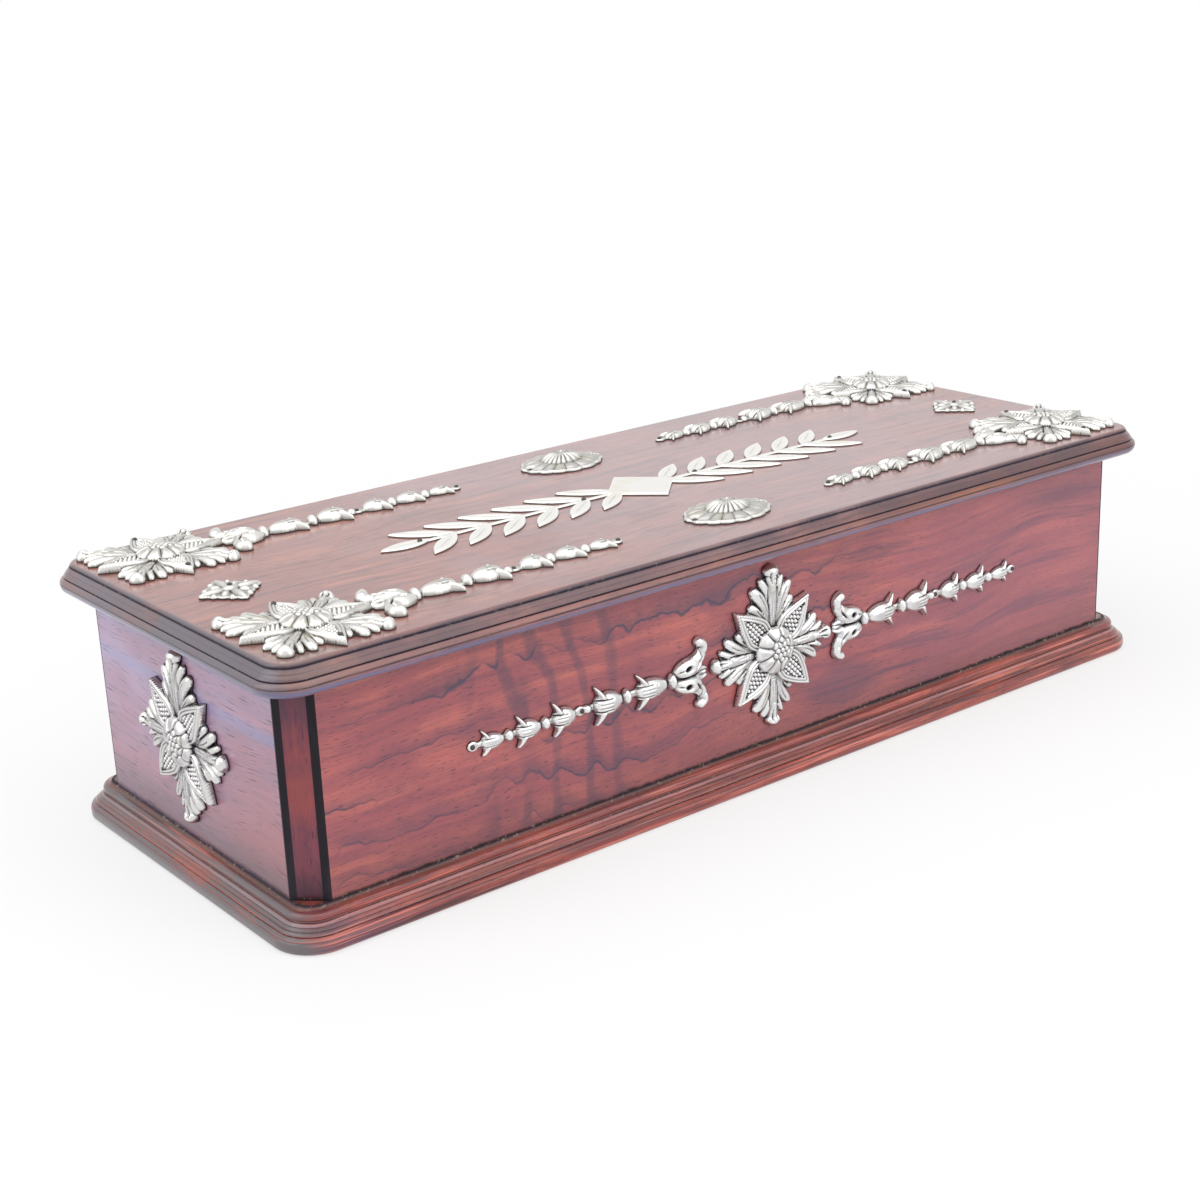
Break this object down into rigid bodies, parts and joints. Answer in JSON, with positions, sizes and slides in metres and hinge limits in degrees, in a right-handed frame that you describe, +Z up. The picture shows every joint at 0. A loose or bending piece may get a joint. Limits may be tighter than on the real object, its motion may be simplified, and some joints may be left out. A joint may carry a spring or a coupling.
{
  "type": "hinged wooden box",
  "caption": "Long rosewood box with a hinged moulded lid, moulded plinth, canted corners strung in black, and stamped silver rosettes and garlands.",
  "frame": {"origin": "centre of the underside of the plinth", "axes": "+X along the length, -Y out of the front, +Z up"},
  "size_m": [0.376, 0.145, 0.0925],
  "materials": {
    "rosewood_lid": "satin varnish",
    "rosewood_plinth": "satin varnish",
    "rosewood_front": "satin varnish",
    "rosewood_end": "satin varnish",
    "rosewood_post": "satin varnish",
    "ebony": "satin varnish",
    "silver": "stamped, darkened recesses",
    "flat_silver": "flat, lightly brushed",
    "pin_steel": "darkened",
    "brass": "aged",
    "screw_steel": "aged",
    "velvet": "velvet over card"
  },
  "bodies": {
    "box": {"base_board": "rosewood_plinth", "front_wall": "rosewood_front", "back_wall": "rosewood_front", "left_wall": "rosewood_end", "right_wall": "rosewood_end", "corner_post_front_left": "rosewood_post", "corner_post_front_right": "rosewood_post", "corner_post_back_left": "rosewood_post", "corner_post_back_right": "rosewood_post", "end_string_front_left": "ebony", "end_string_front_right": "ebony", "end_string_back_left": "ebony", "end_string_back_right": "ebony", "side_string_front_left": "ebony", "side_string_front_right": "ebony", "side_string_back_left": "ebony", "side_string_back_right": "ebony", "front_rosette": "silver", "front_garland_left": "silver", "front_garland_right": "silver", "left_end_rosette": "silver", "right_end_rosette": "silver", "box_mount_pins": "pin_steel", "left_hinge_box_leaf": "brass", "left_hinge_pin": "brass", "right_hinge_box_leaf": "brass", "right_hinge_pin": "brass", "hinge_screws_box": "brass", "base_screws": "screw_steel", "floor_lining": "velvet", "front_lining": "velvet", "back_lining": "velvet", "left_lining": "velvet", "right_lining": "velvet"},
    "lid": {"lid_board": "rosewood_lid", "lid_lining": "velvet", "left_hinge_lid_leaf": "brass", "right_hinge_lid_leaf": "brass", "hinge_screws_lid": "brass", "lid_patera_front": "silver", "lid_patera_back": "silver", "lid_lozenge_left": "silver", "lid_lozenge_right": "silver", "lid_spray": "flat_silver", "lid_mount_pins": "pin_steel", "lid_rosette_front_left": "silver", "lid_rosette_front_right": "silver", "lid_rosette_back_left": "silver", "lid_rosette_back_right": "silver", "lid_garland_front_left": "silver", "lid_garland_front_right": "silver", "lid_garland_back_left": "silver", "lid_garland_back_right": "silver"}
  },
  "joints": [
    {"name": "lid_hinge", "type": "hinge", "parent": "box", "child": "lid", "pos_m": [0, 0.0659, 0.0781], "axis": [-1, 0, 0], "range_deg": [0, 104]}
  ]
}
